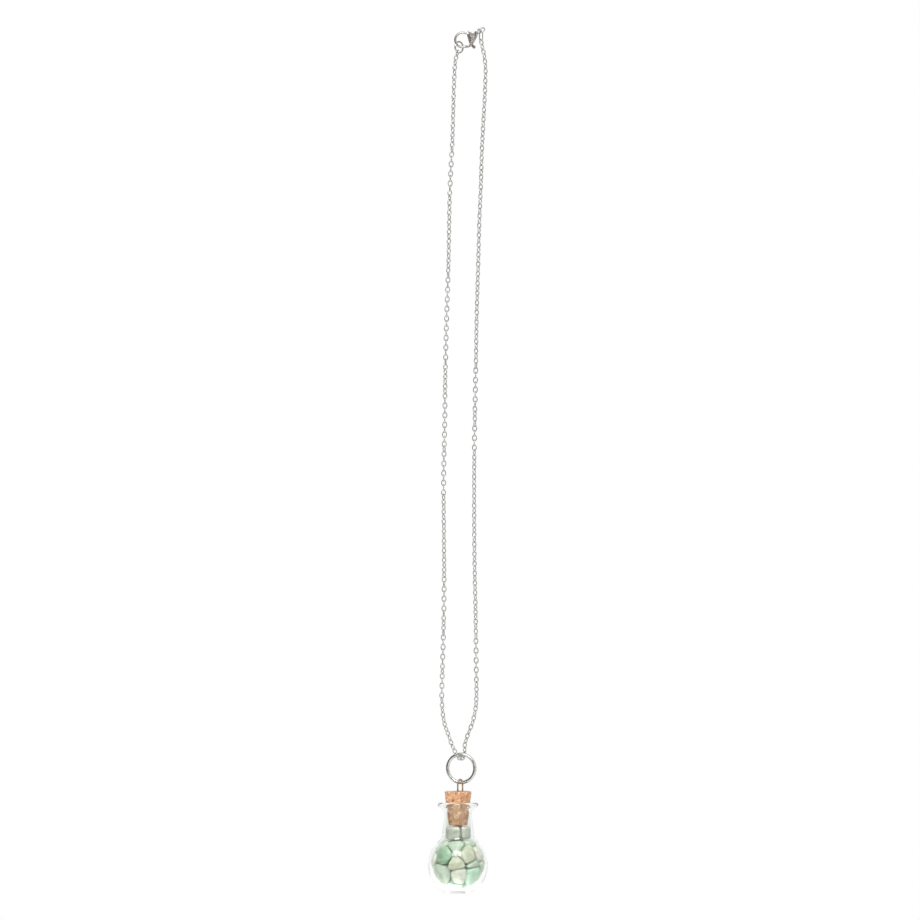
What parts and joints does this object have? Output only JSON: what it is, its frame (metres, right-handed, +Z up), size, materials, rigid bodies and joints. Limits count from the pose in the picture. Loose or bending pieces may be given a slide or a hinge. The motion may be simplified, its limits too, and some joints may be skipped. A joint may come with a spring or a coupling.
{
  "type": "bottle pendant necklace",
  "caption": "Long necklace of fine cable chain with a lobster clasp, carrying a corked round glass bottle of green and cream stone chips on a steel ring.",
  "frame": {"origin": "inside top of the clasp hook's round opening, where a peg holds the necklace", "axes": "+Z up along the hanging chain, +X to the right and +Y away from someone who looks at the front"},
  "size_m": [0.0208, 0.0208, 0.3031],
  "materials": {
    "steel": "cast and tumbled stainless steel, polished",
    "chain_steel": "drawn stainless wire, polished",
    "ring_steel": "round stainless wire, polished",
    "eye_wire": "bent steel wire, slightly dulled",
    "cork": "agglomerated cork, cut and sanded",
    "glass": "clear blown and fire-polished glass",
    "stone_dark_green": "tumbled green quartz",
    "stone_pale_green": "tumbled pale green quartz",
    "stone_mint": "tumbled mint green quartz",
    "stone_cream": "tumbled cream quartz",
    "stone_olive": "tumbled yellow-green quartz"
  },
  "bodies": {
    "necklace": {"clasp_body": "steel", "clasp_pin": "steel", "clasp_ring": "steel", "long_link": "steel", "end_ring": "steel", "chain": "chain_steel"},
    "lever": {"clasp_lever": "steel"},
    "ring": {"pendant_ring": "ring_steel"},
    "pendant": {"cork_eye": "eye_wire", "cork": "cork", "bottle": "glass", "stone_01": "stone_dark_green", "stone_02": "stone_pale_green", "stone_03": "stone_mint", "stone_04": "stone_cream", "stone_05": "stone_olive", "stone_06": "stone_cream", "stone_07": "stone_pale_green", "stone_08": "stone_olive", "stone_09": "stone_pale_green", "stone_10": "stone_cream", "stone_11": "stone_pale_green", "stone_12": "stone_mint", "stone_13": "stone_pale_green", "stone_14": "stone_pale_green", "stone_15": "stone_pale_green", "stone_16": "stone_pale_green", "stone_17": "stone_mint", "stone_18": "stone_pale_green", "stone_19": "stone_mint", "stone_20": "stone_pale_green", "stone_21": "stone_cream", "stone_22": "stone_pale_green", "stone_23": "stone_mint", "stone_24": "stone_pale_green", "stone_25": "stone_pale_green", "stone_26": "stone_cream", "stone_27": "stone_pale_green", "stone_28": "stone_pale_green", "stone_29": "stone_olive", "stone_30": "stone_pale_green", "stone_31": "stone_pale_green"}
  },
  "joints": [
    {"name": "lever_turn", "type": "hinge", "parent": "necklace", "child": "lever", "pos_m": [0.00308, 0, -0.00378], "axis": [0, -1, 0], "range_deg": [0, 32], "stiffness_Nm_per_rad": 0.002, "springref_deg": -17.19},
    {"name": "ring_swing", "type": "hinge", "parent": "necklace", "child": "ring", "pos_m": [-0.00046, 0, -0.25217], "axis": [0.9659, -0.2588, 0], "range_deg": [-60, 60]},
    {"name": "bottle_swing", "type": "hinge", "parent": "ring", "child": "pendant", "pos_m": [-0.00046, 0, -0.26203], "axis": [0.9659, -0.2588, 0], "range_deg": [-90, 90]}
  ]
}
